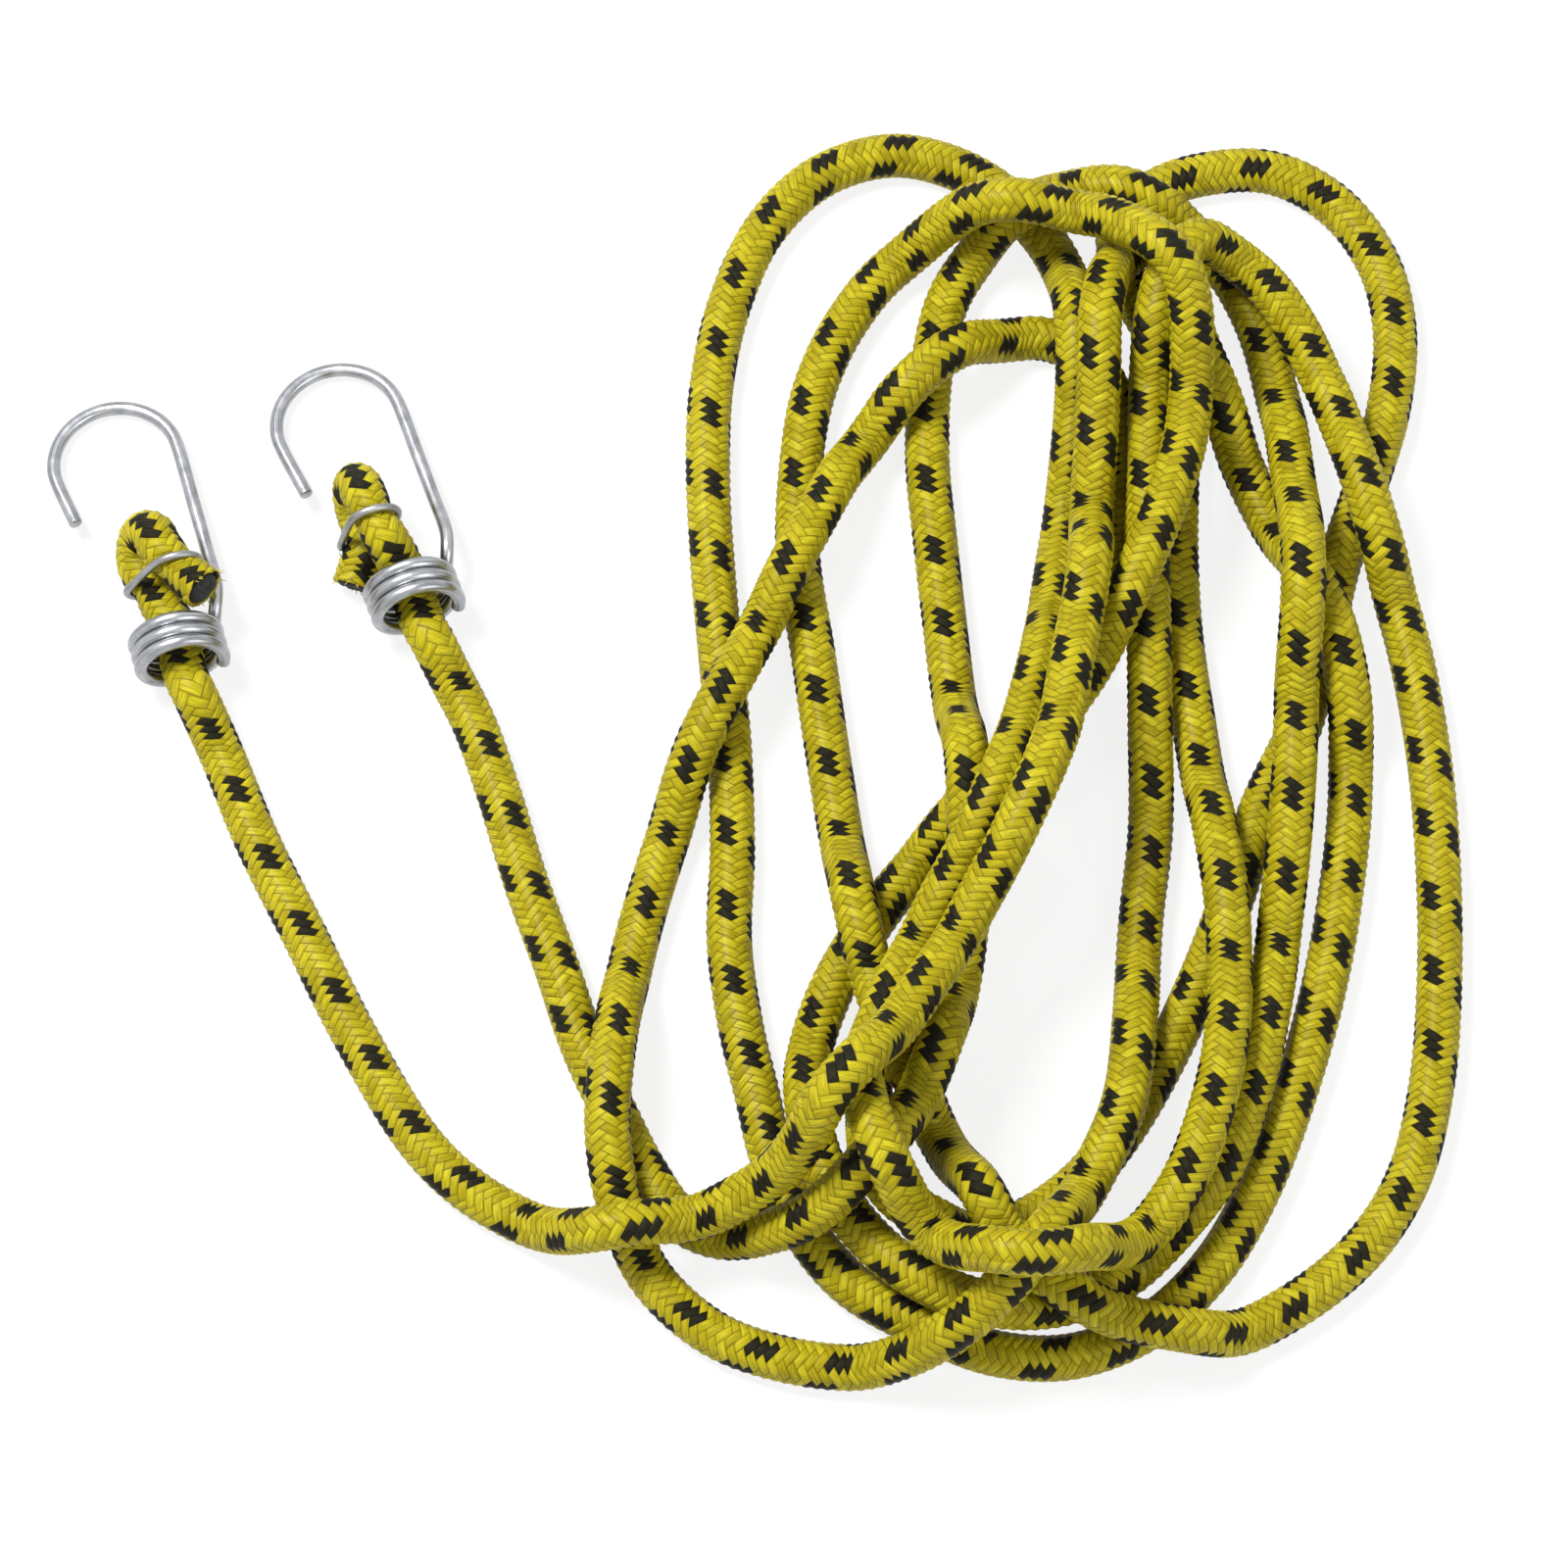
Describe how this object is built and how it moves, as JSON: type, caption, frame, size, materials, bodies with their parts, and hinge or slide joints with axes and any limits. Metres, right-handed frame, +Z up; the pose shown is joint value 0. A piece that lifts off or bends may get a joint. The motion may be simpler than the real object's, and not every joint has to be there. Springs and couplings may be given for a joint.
{
  "type": "bungee cord",
  "caption": "Loosely looped elastic cord with a braided sleeve over a rubber core, ends folded and clipped, and a coiled wire hook on each end for tying down loads",
  "frame": {"origin": "middle of the object's outline, on the floor it lies on", "axes": "Z up, X to the right and Y away from the viewer as pictured"},
  "size_m": [0.2492, 0.2344, 0.0447],
  "materials": {
    "sleeve": "braided yarn, yellow with black flecks",
    "core": "matte",
    "wire": "bright zinc plating"
  },
  "bodies": {
    "cord": {"left_folded_end": "sleeve", "left_tail": "sleeve", "cord_loops": "sleeve", "right_tail": "sleeve", "right_folded_end": "sleeve", "rubber_core": "core", "left_clip": "wire", "right_clip": "wire"},
    "left_hook": {"left_hook": "wire"},
    "right_hook": {"right_hook": "wire"}
  },
  "joints": [
    {"name": "left_hook_turn", "type": "hinge", "parent": "cord", "child": "left_hook", "pos_m": [-0.09955, 0.01546, 0.0088], "axis": [-0.2743, 0.9505, -0.146], "range_deg": [-4, 140]},
    {"name": "right_hook_turn", "type": "hinge", "parent": "cord", "child": "right_hook", "pos_m": [-0.05855, 0.02546, 0.0088], "axis": [-0.3286, 0.9331, -0.146], "range_deg": [-48, 48]}
  ]
}
